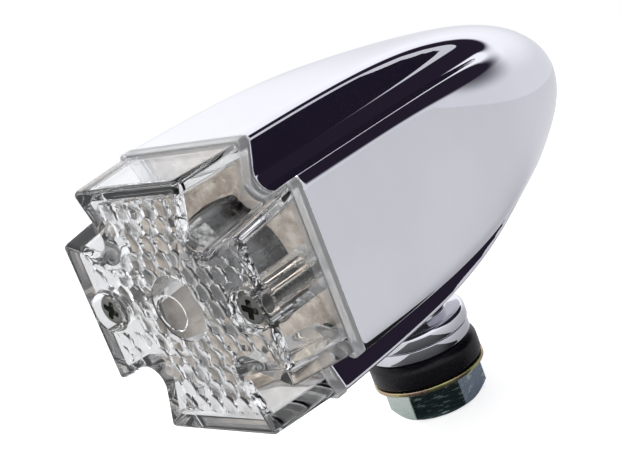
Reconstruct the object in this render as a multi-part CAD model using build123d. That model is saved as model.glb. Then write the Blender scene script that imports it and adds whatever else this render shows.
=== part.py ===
from build123d import *

import os
from math import cos, pi, radians, sin, sqrt, tan

os.makedirs("parts", exist_ok=True)

# ---------------------------------------------------------------------------
# Motorcycle turn signal with a cross-shaped lens and a fluted bullet housing.
#
# Frame: millimetres, +Z up.  The origin lies on the axis of the hollow mounting
# bolt, at the underside of the rubber ring, where a bracket plate is clamped.
# The lens looks along -Y and the nose of the housing points along +Y.
#
# The lamp's own parts are drawn about the lamp axis: "station" is the distance
# behind the rim of the housing, where the lens sits, and it grows towards the nose.
# ---------------------------------------------------------------------------

# Where the lamp stands over the bracket plate
AXIS_HEIGHT = 36.8
STEM_STATION = 33.0

# Cross outline at the rim of the housing
TIP = 22.5
TIP_HALF = 15.3
ROOT = 16.0
ROOT_HALF = 12.85
NOTCH_RADIUS = 3.4
RIM_CROSS = (TIP, TIP_HALF, ROOT, ROOT_HALF)

# Bullet body
BODY_LENGTH = 90.0
NOSE_POWER = 2.6
RIM_CORNER = 0.12
NOSE_CORNER = 0.99
WALL = 2.0
FACE_END = 66.0
CAVITY_END = 58.0
LENS_SCREW_POST = (3.4, 2.2, 18.0)
STEM_PAD_RADIUS = 9.0
STEM_PAD_TOP = 18.5

# Lens: the same cross, drawn in by the mould's draft towards the front
LENS_DEPTH = 14.8
FLANGE = 2.2
LENS_WALL = 2.2
FRONT_WALL = 2.4
FRONT_CROSS = (21.6, 12.85, 14.4, 10.35)
BASE_CROSS = (21.9, 14.6, 15.3, 12.15)
SCREW_OFFSET = 17.2
LENS_POST_RADIUS = 3.9
COUNTERBORE_RADIUS = 3.5
COUNTERBORE_DEPTH = 3.2

# Lens screws
SCREW_HEAD_RADIUS = 2.7
SCREW_HEAD_HEIGHT = 2.3
SCREW_HEAD_ROUND = 0.6
SCREW_RADIUS = 1.5
SCREW_LENGTH = 20.0
HOLE_CLEARANCE = 0.05
RECESS_DEPTH = 1.2
RECESS_WIDTH = 0.9
RECESS_LENGTH = 3.2

# Gasket in a rebate of the rim
GASKET_OUTER_INSET = 0.9
GASKET_THICKNESS = 0.8

# Reflector
PLATE_FRONT = 1.4
PLATE_THICKNESS = 0.6
DISH_RADIUS = 11.2
DISH_BACK = 16.5
DISH_BACK_RADIUS = 8.7
DISH_MIDDLE = 8.0
DISH_MIDDLE_RADIUS = 10.6
DISH_WALL = 0.6

# Single-contact bayonet bulb with a 15 mm base
GLASS_RADIUS = 10.0
GLASS_CENTRE = 2.5
GLASS_NECK = 6.7
GLASS_WALL = 0.7
GLASS_BACK = 21.0
GLASS_SHOULDER = 0.82
GLASS_WAIST = 11.5
BASE_RADIUS = 7.5
BASE_WALL = 0.5
BASE_FRONT = 17.5
BASE_BACK = 32.0
NUB_FRONT = 33.2
NUB_BACK = 34.3
NUB_RADIUS = 2.0
PIN_RADIUS = 1.0
PIN_STATION = 25.0
PIN_REACH = 8.8
BASE_HOLE = 4.0
INSULATOR_RADIUS = 5.2
FOOT_RADIUS = 5.8
FOOT_FRONT = 9.0
FOOT_BACK = 20.0
SUPPORT_WIRE_RADIUS = 0.25
FILAMENT_COIL_RADIUS = 0.45
FILAMENT_WIRE_RADIUS = 0.14
FILAMENT_PITCH = 0.7
FILAMENT_LENGTH = 5.0
FILAMENT_STATION = 0.0

# Socket
SHELL_BORE = 7.6
SHELL_RADIUS = 8.3
SHELL_FRONT = 18.5
SHELL_BACK = 42.0
PRESS_TRAVEL = 1.5
TWIST = 20.0
SLOT_CLEARANCE = 0.3
WAFER_FRONT = 40.5
DISC_FRONT = 34.9
DISC_BACK = 36.4
DISC_RADIUS = 7.3
PLUNGER_RADIUS = 1.6
PLUNGER_BACK = 45.0
SPRING_RADIUS = 4.6
SPRING_WIRE = 0.4
SPRING_TURNS = 3
BRACKET_FRONT = 38.0
BRACKET_THICKNESS = 1.0
BRACKET_SCREW_OFFSET = 14.5
BRACKET_POST_RADIUS = 2.9
BRACKET_RING_RADIUS = 11.0
BRACKET_SCREW_LENGTH = 9.0
PLUNGER_HEAD_RADIUS = 2.6

# Wire terminals: a ring tag with a bent-up blade
TAG_RADIUS = 3.0
BLADE_WIDTH = 2.8
BLADE_REACH = 8.0
BLADE_LENGTH = 5.2
LIVE_TAG_THICKNESS = 0.8
EARTH_TAG_THICKNESS = 0.6

# Stem under the housing, heights over the clamped face of the bracket plate
BOSS_LOW = 13.6
NECK_RADIUS = 6.7
SPIGOT_RADIUS = 6.2
SPIGOT_TOP = 18.5
COLLAR_RADIUS = 10.1
COLLAR_TOP = 10.3
COLLAR_LOW = 5.0
COLLAR_GROOVE = (9.4, 7.2, 7.45)
COLLAR_LOWER_RADIUS = 9.8
RING_RADIUS = 10.4
RING_HEIGHT = 4.95
WASHER_RADIUS = 10.5
WASHER_THICKNESS = 0.8
BOLT_RADIUS = 5.0
BOLT_BORE = 3.0
BOLT_TOP = 15.5
HEX_ACROSS_FLATS = 16.0
HEX_HEIGHT = 6.2
HEX_TURN = -18.0
HEX_BEVEL = 30.0
HEX_BEVEL_SHARE = 0.98
COLLAR_ROUND = 1.1
RING_TOP_ROUND = 1.7
RING_LOW_ROUND = 1.0


def export(shape, node):
    export_step(shape, f"parts/{node}.step")
    print(node, round(shape.volume, 1))


def on_lamp(shape):
    """Move a shape drawn about the lamp axis, station zero at the rim, to its place."""
    return Location((0, -STEM_STATION, AXIS_HEIGHT)) * shape


def across(station):
    """Plane square to the lamp axis at a station; its normal points to the nose."""
    return Plane(origin=(0, station, 0), x_dir=(1, 0, 0), z_dir=(0, 1, 0))


def rod(radius, front, back, x=0.0, z=0.0):
    """Solid round bar along the lamp axis between two stations."""
    return extrude(across(front) * Pos(x, -z) * Circle(radius), back - front)


def tube(outer, inner, front, back):
    return rod(outer, front, back) - rod(inner, front - 1, back + 1)


def upright(radius, low, high):
    """Solid round bar along the bolt axis."""
    return Pos(0, 0, low) * extrude(Circle(radius), high - low)


def compound(shapes):
    return Compound(children=list(shapes))


# --- cross outline ------------------------------------------------------------

def notch_bottom(root, root_half):
    """Where the round notch comes nearest to the axis, the same in both directions."""
    half_chord = (root - root_half) / sqrt(2)
    sagitta = NOTCH_RADIUS - sqrt(NOTCH_RADIUS ** 2 - half_chord ** 2)
    return (root + root_half) / 2 - sagitta / sqrt(2)


def cross_face(tip, tip_half, root, root_half, inset=0.0):
    """Four flared arms with a round notch between each pair, every wall moved in by inset."""
    tip = tip - inset
    tip_half = tip_half - inset
    root = root - inset
    root_half = root_half - inset
    deepest = notch_bottom(root, root_half)
    quarter = [
        Line((tip_half, tip), (root_half, root)),
        ThreePointArc((root_half, root), (deepest, deepest), (root, root_half)),
        Line((root, root_half), (tip, tip_half)),
        Line((tip, tip_half), (tip, -tip_half)),
    ]
    turned = [Rotation(0, 0, -90 * turn) * line for turn in range(4) for line in quarter]
    return make_face(Wire([edge for line in turned for edge in line.edges()]))


def cross_block(outline, front, back, inset=0.0):
    return extrude(across(front) * cross_face(*outline, inset=inset), back - front)


# --- housing --------------------------------------------------------------------

def body_half(station):
    """Half the width of the body at a station: full at the rim, round at the nose."""
    return TIP * sqrt(1 - (station / BODY_LENGTH) ** NOSE_POWER)


def body_corner(station):
    """Corner radius over half width: crisp at the rim, a full round at the nose."""
    fade = sin(pi / 2 * station / BODY_LENGTH) ** 2
    return RIM_CORNER + (NOSE_CORNER - RIM_CORNER) * fade


def face_half(station):
    """Half width between two opposite arm faces, run on straight past their end."""
    if station <= FACE_END:
        return body_half(station)
    step = 0.5
    slope = (body_half(FACE_END) - body_half(FACE_END - step)) / step
    return body_half(FACE_END) + slope * (station - FACE_END)


def corner_radius(station):
    """Distance from the axis to the body's surface half way between two arms."""
    return body_half(station) * (sqrt(2) - (sqrt(2) - 1) * body_corner(station))


def face_slab(inset):
    """Everything between two opposite arm faces, above and below the axis."""
    stations = (0, 12, 24, 36, 48, FACE_END)
    top = Spline(*[(station, face_half(station) - inset) for station in stations])
    far = BODY_LENGTH + 4
    beyond = face_half(far) - inset
    outline = [
        Line((-2, -TIP + inset), (-2, TIP - inset)),
        Line((-2, TIP - inset), (0, TIP - inset)),
        top,
        Line(top @ 1, (far, beyond)),
        Line((far, beyond), (far, -beyond)),
        Line((far, -beyond), (FACE_END, -face_half(FACE_END) + inset)),
        mirror(top, Plane.XZ),
        Line((0, -TIP + inset), (-2, -TIP + inset)),
    ]
    face = make_face(Wire([edge for curve in outline for edge in curve.edges()]))
    upright_face = Plane(origin=(0, 0, 0), x_dir=(0, 1, 0), z_dir=(1, 0, 0)) * face
    return extrude(upright_face, 2 * TIP, both=True)


def turned_body(inset):
    """Round solid that the corners of the body follow, with its smooth nose."""
    stations = (0, 14, 28, 42, 56, 68, 79, 86.5)
    nose = BODY_LENGTH - inset
    points = [(corner_radius(station) - inset, station) for station in stations]
    side = Spline(*points, (0, nose), tangents=[(0, 1), (-1, 0)])
    outline = [side, Line((0, nose), (0, -2)), Line((0, -2), (points[0][0], -2)),
               Line((points[0][0], -2), points[0])]
    face = make_face(Wire([edge for curve in outline for edge in curve.edges()]))
    return revolve(face, Axis.Y, 360)


def bullet(inset=0.0):
    slab = face_slab(inset)
    turned_slab = Rotation(0, 90, 0) * slab
    return turned_body(inset) & slab & turned_slab


def flute_face(inset=0.0):
    """One notch of the cross, run straight out past the corner of the body."""
    root = ROOT - inset
    root_half = ROOT_HALF - inset
    slope = (TIP_HALF - ROOT_HALF) / (TIP - ROOT)
    far = TIP + 6
    far_half = root_half + slope * (far - root)
    deepest = notch_bottom(root, root_half)
    outline = [
        Line((far_half, far), (root_half, root)),
        ThreePointArc((root_half, root), (deepest, deepest), (root, root_half)),
        Line((root, root_half), (far, far_half)),
        Line((far, far_half), (far, far)),
        Line((far, far), (far_half, far)),
    ]
    return make_face(Wire([edge for line in outline for edge in line.edges()]))


def flutes(front, back, inset=0.0):
    face = flute_face(inset)
    return [extrude(across(front) * Rotation(0, 0, 90 * turn) * face, back - front)
            for turn in range(4)]


def half_space(front, back):
    """Block that keeps what lies between two stations."""
    size = 3 * TIP
    return extrude(across(front) * Rectangle(size, size), back - front)


def stem_bar(radius, low, high):
    """Round bar on the bolt axis, drawn in the lamp's own coordinates."""
    return Pos(0, STEM_STATION, -AXIS_HEIGHT) * upright(radius, low, high)


def make_housing():
    shell = bullet() & half_space(0, BODY_LENGTH + 1)
    cavity = bullet(WALL) & half_space(-1, CAVITY_END)
    for flute in flutes(-1, BODY_LENGTH):
        shell -= flute
    for flute in flutes(-2, BODY_LENGTH, WALL):
        cavity -= flute
    shell -= cavity
    shell -= cross_block(RIM_CROSS, -1, GASKET_THICKNESS + HOLE_CLEARANCE, inset=GASKET_OUTER_INSET - 0.1)
    post_radius, post_front, post_back = LENS_SCREW_POST
    for side in (-1, 1):
        shell += rod(post_radius, post_front, post_back, x=side * SCREW_OFFSET)
        shell -= rod(SCREW_RADIUS + HOLE_CLEARANCE, -1, post_back - 4, x=side * SCREW_OFFSET)
        bracket_x = side * BRACKET_SCREW_OFFSET
        shell += rod(BRACKET_POST_RADIUS, BRACKET_FRONT + BRACKET_THICKNESS, CAVITY_END + 1, x=bracket_x)
        shell -= rod(SCREW_RADIUS + HOLE_CLEARANCE, BRACKET_FRONT, BRACKET_FRONT + 11, x=bracket_x)
    shell += stem_bar(STEM_PAD_RADIUS, AXIS_HEIGHT - body_half(STEM_STATION) + 1, STEM_PAD_TOP)
    shell += stem_bar(NECK_RADIUS, BOSS_LOW, STEM_PAD_TOP)
    shell -= stem_bar(SPIGOT_RADIUS + HOLE_CLEARANCE, BOSS_LOW - 1, STEM_PAD_TOP + 1)
    return shell


# --- lens, its screws and its gasket ------------------------------------------

def drafted_cross(front_outline, back_outline, front, back, inset=0.0):
    """Tapered cross-shaped block between two stations."""
    front_face = across(front) * cross_face(*front_outline, inset=inset)
    back_face = across(back) * cross_face(*back_outline, inset=inset)
    return loft([front_face, back_face], ruled=True)


def make_lens():
    lens = drafted_cross(FRONT_CROSS, BASE_CROSS, -LENS_DEPTH, -FLANGE)
    lens += cross_block(RIM_CROSS, -FLANGE, 0)
    inner_front = -LENS_DEPTH + FRONT_WALL
    lens -= drafted_cross(FRONT_CROSS, BASE_CROSS, inner_front, 1, inset=LENS_WALL)
    for side in (-1, 1):
        x = side * SCREW_OFFSET
        lens += rod(LENS_POST_RADIUS, inner_front - 0.5, 0, x=x) & cross_block(BASE_CROSS, -LENS_DEPTH, 0)
        lens -= rod(SCREW_RADIUS + 6 * HOLE_CLEARANCE, -LENS_DEPTH - 1, 1, x=x)
        lens -= rod(COUNTERBORE_RADIUS, -LENS_DEPTH - 1, -LENS_DEPTH + COUNTERBORE_DEPTH, x=x)
    return lens


def cross_recess(station):
    """Cross slot of a screw head that opens towards the front."""
    bar = across(station) * Rectangle(RECESS_LENGTH, RECESS_WIDTH)
    other = across(station) * Rectangle(RECESS_WIDTH, RECESS_LENGTH)
    return extrude(bar, RECESS_DEPTH) + extrude(other, RECESS_DEPTH)


def pan_screw(x, seat, length):
    """Pan head screw: the head's underside lies at the seat and the shank goes back."""
    head = rod(SCREW_HEAD_RADIUS, seat - SCREW_HEAD_HEIGHT, seat, x=x)
    front_rim = head.edges().filter_by(GeomType.CIRCLE).sort_by(Axis.Y)[0]
    head = fillet(front_rim, SCREW_HEAD_ROUND)
    head -= Pos(x, 0, 0) * cross_recess(seat - SCREW_HEAD_HEIGHT)
    return head + rod(SCREW_RADIUS, seat - 0.1, seat + length, x=x)


def make_lens_screws():
    seat = -LENS_DEPTH + COUNTERBORE_DEPTH
    return compound(pan_screw(side * SCREW_OFFSET, seat, SCREW_LENGTH) for side in (-1, 1))


def make_gasket():
    ring = cross_block(RIM_CROSS, 0, GASKET_THICKNESS, inset=GASKET_OUTER_INSET)
    return ring - cross_block(RIM_CROSS, -1, GASKET_THICKNESS + 1, inset=WALL)


# --- reflector ------------------------------------------------------------------

def turned(points):
    """Solid of revolution about the lamp axis from (radius, station) corner points."""
    face = make_face(Polyline(*points, close=True))
    return revolve(face, Axis.Y, 360)


def make_reflector():
    back = PLATE_FRONT + PLATE_THICKNESS
    plate = cross_block(RIM_CROSS, PLATE_FRONT, back, inset=WALL + 0.3)
    plate -= rod(DISH_RADIUS, PLATE_FRONT - 1, back + 1)
    for side in (-1, 1):
        plate -= rod(SCREW_RADIUS + 0.3, PLATE_FRONT - 1, back + 1, x=side * SCREW_OFFSET)
    profile = [(DISH_RADIUS, PLATE_FRONT), (DISH_MIDDLE_RADIUS, DISH_MIDDLE), (DISH_BACK_RADIUS, DISH_BACK)]
    bowl = Spline(*profile)
    outer = Spline(*[(radius + DISH_WALL, station) for radius, station in profile])
    outline = [bowl, Line(bowl @ 1, outer @ 1), outer, Line(outer @ 0, bowl @ 0)]
    face = make_face(Wire([edge for line in outline for edge in line.edges()]))
    return plate + revolve(face, Axis.Y, 360)


# --- bulb -----------------------------------------------------------------------

def bulb_profile(offset):
    """Closed outline of the glass bulb, drawn in by offset, open at its back end."""
    radius = GLASS_RADIUS - offset
    neck = GLASS_NECK - offset
    tip = GLASS_CENTRE - radius
    joint_x = radius * GLASS_SHOULDER
    joint_y = GLASS_CENTRE + sqrt(radius ** 2 - joint_x ** 2)
    outline = [
        ThreePointArc((0, tip), (radius * cos(pi / 6), GLASS_CENTRE - radius / 2), (joint_x, joint_y)),
        Line((joint_x, joint_y), (neck, GLASS_WAIST)),
        Line((neck, GLASS_WAIST), (neck, GLASS_BACK)),
        Line((neck, GLASS_BACK), (0, GLASS_BACK)),
        Line((0, GLASS_BACK), (0, tip)),
    ]
    return make_face(Wire([edge for line in outline for edge in line.edges()]))


def make_bulb_glass():
    solid = revolve(bulb_profile(0.0), Axis.Y, 360)
    hollow = revolve(bulb_profile(GLASS_WALL), Axis.Y, 360)
    return solid - hollow


def make_bulb_base():
    base = rod(BASE_RADIUS, BASE_FRONT, BASE_BACK)
    base -= rod(BASE_RADIUS - BASE_WALL, BASE_FRONT - 1, BASE_BACK - BASE_WALL)
    base -= rod(BASE_HOLE, BASE_BACK - 1, BASE_BACK + 1)
    for side in (-1, 1):
        base -= side_bar(side, PIN_RADIUS + HOLE_CLEARANCE, BASE_RADIUS - 1, BASE_RADIUS + 1)
    return base


def side_bar(side, radius, near, far, angle=0.0):
    """Round bar square to the lamp axis at the bayonet pins' station."""
    face = Plane(origin=(side * near, PIN_STATION, 0), z_dir=(side, 0, 0)) * Circle(radius)
    return Rotation(0, angle, 0) * extrude(face, far - near)


def make_bulb_pins():
    near = BASE_RADIUS - BASE_WALL
    return compound(side_bar(side, PIN_RADIUS, near, PIN_REACH) for side in (-1, 1))


def make_bulb_insulator():
    hole = BASE_HOLE - 2 * HOLE_CLEARANCE
    return turned([(0, BASE_BACK - BASE_WALL), (hole, BASE_BACK - BASE_WALL), (hole, BASE_BACK),
                   (INSULATOR_RADIUS, BASE_BACK), (NUB_RADIUS + 1, NUB_FRONT), (0, NUB_FRONT)])


def make_bulb_nub():
    return turned([(0, NUB_FRONT), (NUB_RADIUS, NUB_FRONT), (NUB_RADIUS, NUB_BACK - 0.4),
                   (NUB_RADIUS - 0.6, NUB_BACK), (0, NUB_BACK)])


def make_bulb_stem():
    """Pressed glass foot that carries the wires inside the bulb."""
    return turned([(0, FOOT_FRONT), (1.6, FOOT_FRONT + 0.5), (2.2, FOOT_FRONT + 4),
                   (FOOT_RADIUS, FOOT_BACK - 1), (FOOT_RADIUS, FOOT_BACK), (0, FOOT_BACK)])


def make_support_wires():
    wires = []
    for side in (-1, 1):
        foot = Vector(side * 1.2, FOOT_FRONT + 0.4, 0)
        top = Vector(side * FILAMENT_LENGTH / 2, FILAMENT_STATION + 0.7, 0)
        wire = Plane(origin=foot, z_dir=top - foot) * Circle(SUPPORT_WIRE_RADIUS)
        wires.append(extrude(wire, (top - foot).length))
    return compound(wires)


def make_filament():
    coil = Helix(pitch=FILAMENT_PITCH, height=FILAMENT_LENGTH, radius=FILAMENT_COIL_RADIUS)
    start_plane = Plane(origin=coil @ 0, z_dir=coil % 0)
    wire = sweep(start_plane * Circle(FILAMENT_WIRE_RADIUS), path=coil)
    return Pos(-FILAMENT_LENGTH / 2, FILAMENT_STATION, 0) * Rotation(0, 90, 0) * wire


# --- bayonet socket -------------------------------------------------------------

def make_socket_shell():
    shell = tube(SHELL_RADIUS, SHELL_BORE, SHELL_FRONT, SHELL_BACK)
    gap = PIN_RADIUS + SLOT_CLEARANCE
    window = PRESS_TRAVEL + 2 * gap
    entry = PIN_STATION + gap - SHELL_FRONT + 1
    steps = 5
    for side in (-1, 1):
        for step in range(steps + 1):
            cut = Pos(side * SHELL_RADIUS, PIN_STATION + PRESS_TRAVEL / 2, 0) * Box(3, window, 2 * gap)
            shell -= Rotation(0, TWIST * step / steps, 0) * cut
        lead = Pos(side * SHELL_RADIUS, PIN_STATION + gap - entry / 2, 0) * Box(3, entry, 2 * gap)
        shell -= Rotation(0, TWIST, 0) * lead
    return shell


def make_wafer():
    bore = PLUNGER_RADIUS + 2 * HOLE_CLEARANCE
    return tube(SHELL_BORE - HOLE_CLEARANCE, bore, WAFER_FRONT, SHELL_BACK)


def make_contact_disc():
    return tube(DISC_RADIUS, PLUNGER_RADIUS + HOLE_CLEARANCE, DISC_FRONT, DISC_BACK)


def make_plunger():
    head_front = NUB_BACK + HOLE_CLEARANCE
    return rod(PLUNGER_HEAD_RADIUS, head_front, DISC_FRONT) + rod(PLUNGER_RADIUS, DISC_FRONT - 0.1, PLUNGER_BACK)


def make_contact_spring():
    height = WAFER_FRONT - DISC_BACK - 2 * SPRING_WIRE - 2 * HOLE_CLEARANCE
    coil = Helix(pitch=height / SPRING_TURNS, height=height, radius=SPRING_RADIUS)
    wire = sweep(Plane(origin=coil @ 0, z_dir=coil % 0) * Circle(SPRING_WIRE), path=coil)
    front = DISC_BACK + SPRING_WIRE + HOLE_CLEARANCE
    return Pos(0, front, 0) * Rotation(-90, 0, 0) * wire


def terminal(thickness, front, x, hole):
    """Ring tag whose blade stands up and then runs back, for a wire."""
    rise = BLADE_REACH - TAG_RADIUS + 1
    tag = rod(TAG_RADIUS, front, front + thickness, x=x)
    tag += Pos(x, front + thickness / 2, BLADE_REACH - rise / 2) * Box(BLADE_WIDTH, thickness, rise)
    blade = Box(BLADE_WIDTH, BLADE_LENGTH, thickness)
    tag += Pos(x, front + BLADE_LENGTH / 2, BLADE_REACH - thickness / 2) * blade
    return tag - rod(hole, front - 1, front + thickness + 1, x=x)


def make_live_terminal():
    """Brass tag on the back of the plunger, for the feed wire."""
    return terminal(LIVE_TAG_THICKNESS, SHELL_BACK + 0.3, 0.0, PLUNGER_RADIUS + HOLE_CLEARANCE)


def make_socket_bracket():
    back = BRACKET_FRONT + BRACKET_THICKNESS
    plate = rod(BRACKET_RING_RADIUS, BRACKET_FRONT, back)
    bar = across(BRACKET_FRONT) * Rectangle(2 * BRACKET_SCREW_OFFSET, 6.4)
    plate += extrude(bar, BRACKET_THICKNESS)
    for side in (-1, 1):
        plate += rod(3.2, BRACKET_FRONT, back, x=side * BRACKET_SCREW_OFFSET)
        plate -= rod(SCREW_RADIUS + 0.1, BRACKET_FRONT - 1, back + 1, x=side * BRACKET_SCREW_OFFSET)
    plate -= rod(SHELL_RADIUS + HOLE_CLEARANCE, BRACKET_FRONT - 1, back + 1)
    return plate


def make_bracket_screws():
    plain = pan_screw(BRACKET_SCREW_OFFSET, BRACKET_FRONT, BRACKET_SCREW_LENGTH)
    over_tag = pan_screw(-BRACKET_SCREW_OFFSET, BRACKET_FRONT - EARTH_TAG_THICKNESS, BRACKET_SCREW_LENGTH)
    return compound([plain, over_tag])


def make_earth_terminal():
    """Tinned ring tag under one bracket screw, for the earth wire."""
    front = BRACKET_FRONT - EARTH_TAG_THICKNESS
    return terminal(EARTH_TAG_THICKNESS, front, -BRACKET_SCREW_OFFSET, SCREW_RADIUS + 2 * HOLE_CLEARANCE)


# --- stem: neck, rubber ring, washer and hollow bolt ----------------------------

def make_neck():
    groove_radius, groove_low, groove_top = COLLAR_GROOVE
    neck = upright(NECK_RADIUS, COLLAR_TOP - 0.1, BOSS_LOW)
    neck += upright(SPIGOT_RADIUS, BOSS_LOW - 0.1, SPIGOT_TOP)
    collar = upright(COLLAR_RADIUS, groove_top, COLLAR_TOP)
    collar = fillet(collar.edges().filter_by(GeomType.CIRCLE).sort_by(Axis.Z)[-1], COLLAR_ROUND)
    collar += upright(groove_radius, groove_low - 0.1, groove_top + 0.1)
    collar += upright(COLLAR_LOWER_RADIUS, COLLAR_LOW, groove_low)
    return neck + collar - upright(BOLT_RADIUS + HOLE_CLEARANCE, 0, SPIGOT_TOP + 1)


def make_rubber_ring():
    ring = upright(RING_RADIUS, 0, RING_HEIGHT)
    rims = ring.edges().filter_by(GeomType.CIRCLE).sort_by(Axis.Z)
    ring = fillet(rims[-1], RING_TOP_ROUND)
    ring = fillet(ring.edges().filter_by(GeomType.CIRCLE).sort_by(Axis.Z)[0], RING_LOW_ROUND)
    return ring - upright(BOLT_RADIUS + 0.2, -1, RING_HEIGHT + 1)


def make_washer():
    washer = upright(WASHER_RADIUS, -WASHER_THICKNESS, 0)
    return washer - upright(BOLT_RADIUS + 0.25, -WASHER_THICKNESS - 1, 1)


def make_bolt():
    low = -WASHER_THICKNESS - HEX_HEIGHT
    hexagon = RegularPolygon(HEX_ACROSS_FLATS / 2, 6, major_radius=False, rotation=HEX_TURN)
    head = Pos(0, 0, low) * extrude(hexagon, HEX_HEIGHT)
    bevel = HEX_BEVEL_SHARE * HEX_ACROSS_FLATS / 2
    corner = HEX_ACROSS_FLATS / sqrt(3) + 0.5
    rise = (corner - bevel) * tan(radians(HEX_BEVEL))
    blank = Pos(0, 0, low) * Cylinder(corner, HEX_HEIGHT, align=(Align.CENTER, Align.CENTER, Align.MIN))
    cone = Pos(0, 0, low) * Cone(bevel, corner, rise, align=(Align.CENTER, Align.CENTER, Align.MIN))
    blank -= Pos(0, 0, low) * Cylinder(corner + 1, rise, align=(Align.CENTER, Align.CENTER, Align.MIN))
    bolt = head & (blank + cone)
    bolt += upright(BOLT_RADIUS, -WASHER_THICKNESS - 0.5, BOLT_TOP)
    return bolt - upright(BOLT_BORE, low - 1, BOLT_TOP + 1)


LAMP_PARTS = {
    "housing": make_housing,
    "lens": make_lens,
    "lens_screws": make_lens_screws,
    "lens_gasket": make_gasket,
    "reflector": make_reflector,
    "bulb_glass": make_bulb_glass,
    "bulb_base": make_bulb_base,
    "bulb_pins": make_bulb_pins,
    "bulb_insulator": make_bulb_insulator,
    "bulb_contact": make_bulb_nub,
    "bulb_stem": make_bulb_stem,
    "bulb_support_wires": make_support_wires,
    "bulb_filament": make_filament,
    "socket_shell": make_socket_shell,
    "socket_wafer": make_wafer,
    "contact_disc": make_contact_disc,
    "contact_plunger": make_plunger,
    "contact_spring": make_contact_spring,
    "live_terminal": make_live_terminal,
    "socket_bracket": make_socket_bracket,
    "bracket_screws": make_bracket_screws,
    "earth_terminal": make_earth_terminal,
}

STEM_PARTS = {
    "neck_collar": make_neck,
    "rubber_ring": make_rubber_ring,
    "flat_washer": make_washer,
    "hollow_bolt": make_bolt,
}

for node, make in LAMP_PARTS.items():
    export(on_lamp(make()), node)

for node, make in STEM_PARTS.items():
    export(make(), node)
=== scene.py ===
from math import atan2, cos, pi, radians, sin, sqrt, tan

import bpy
import numpy as np
from mathutils import Matrix, Vector
from mathutils.geometry import delaunay_2d_cdt


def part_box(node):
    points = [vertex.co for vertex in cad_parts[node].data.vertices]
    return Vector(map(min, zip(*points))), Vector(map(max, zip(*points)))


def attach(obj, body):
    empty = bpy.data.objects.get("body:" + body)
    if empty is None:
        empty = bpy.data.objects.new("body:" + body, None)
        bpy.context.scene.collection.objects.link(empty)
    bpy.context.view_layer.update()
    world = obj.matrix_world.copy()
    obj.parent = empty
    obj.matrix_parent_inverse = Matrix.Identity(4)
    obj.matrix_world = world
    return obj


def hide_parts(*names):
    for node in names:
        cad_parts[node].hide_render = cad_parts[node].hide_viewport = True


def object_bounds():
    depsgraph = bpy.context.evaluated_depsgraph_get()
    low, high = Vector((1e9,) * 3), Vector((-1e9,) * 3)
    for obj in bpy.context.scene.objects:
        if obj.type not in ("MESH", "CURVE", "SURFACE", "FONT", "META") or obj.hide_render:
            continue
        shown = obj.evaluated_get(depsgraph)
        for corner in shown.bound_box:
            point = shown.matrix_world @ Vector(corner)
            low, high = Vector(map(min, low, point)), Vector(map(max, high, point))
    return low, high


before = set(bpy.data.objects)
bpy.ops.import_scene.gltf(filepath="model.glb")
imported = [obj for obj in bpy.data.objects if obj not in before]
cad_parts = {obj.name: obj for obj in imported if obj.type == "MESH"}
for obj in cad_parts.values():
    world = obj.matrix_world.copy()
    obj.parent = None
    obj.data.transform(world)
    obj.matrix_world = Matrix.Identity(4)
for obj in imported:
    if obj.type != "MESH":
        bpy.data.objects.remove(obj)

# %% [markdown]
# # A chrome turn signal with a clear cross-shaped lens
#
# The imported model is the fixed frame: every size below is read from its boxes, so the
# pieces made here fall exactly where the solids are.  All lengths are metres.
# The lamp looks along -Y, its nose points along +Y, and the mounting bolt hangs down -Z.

CAD_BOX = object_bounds()
MM = 0.001

housing_low, housing_high = [Vector(corner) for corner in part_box("housing")]
lens_low = Vector(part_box("lens")[0])
TIP = (housing_high.x - housing_low.x) / 2
RIM_Y = housing_low.y
NOSE_Y = housing_high.y
BODY_LENGTH = NOSE_Y - RIM_Y
AXIS_Z = housing_high.z - TIP
LENS_DEPTH = RIM_Y - lens_low.y
AXIS_POINT = Vector((0, RIM_Y, AXIS_Z))
print("body length", round(BODY_LENGTH / MM, 1), "mm, half width", round(TIP / MM, 2), "mm")
print("lamp axis height", round(AXIS_Z / MM, 2), "mm, lens depth", round(LENS_DEPTH / MM, 2), "mm")

# %% [markdown]
# ## Camera
#
# A long lens close to a small lamp: the camera stands to the right of the lens and a little
# above it, and it is rolled, so that the nose of the lamp rises to the upper right.
# A camera can be aimed with a constraint, but its three angles say the same thing plainly.

# %% Camera
CAMERA_AZIMUTH = 48.58
CAMERA_ELEVATION = 16.32
CAMERA_ROLL = -21.15
CAMERA_DISTANCE = 0.240
CAMERA_LENS = 84.79
camera_target = AXIS_POINT + Vector((6.2, 12.35, 0.25)) * MM


def add_camera():
    azimuth = radians(CAMERA_AZIMUTH)
    elevation = radians(CAMERA_ELEVATION)
    back = Vector((sin(azimuth) * cos(elevation), -cos(azimuth) * cos(elevation), sin(elevation)))
    data = bpy.data.cameras.new("studio_camera")
    data.lens = CAMERA_LENS
    data.sensor_width = 36.0
    data.clip_start = 0.01
    camera = bpy.data.objects.new("studio_camera", data)
    bpy.context.collection.objects.link(camera)
    turn = back.to_track_quat("Z", "Y").to_matrix().to_4x4()
    roll = Matrix.Rotation(radians(CAMERA_ROLL), 4, "Z")
    camera.matrix_world = Matrix.Translation(camera_target + back * CAMERA_DISTANCE) @ turn @ roll
    bpy.context.scene.camera = camera
    return camera


camera = add_camera()
print("camera at", [round(value / MM, 1) for value in camera.location], "mm")

# %% [markdown]
# ## Studio
#
# Chrome has no colour of its own: it shows the room.  A product studio for chrome is a white
# tent with one dark wall, whose reflection draws the black shapes that make the metal
# read as metal.  Here the room is a world shader that depends on direction alone: white all
# round, and dark in one quarter of the horizon.  The camera itself sees plain white.

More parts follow.
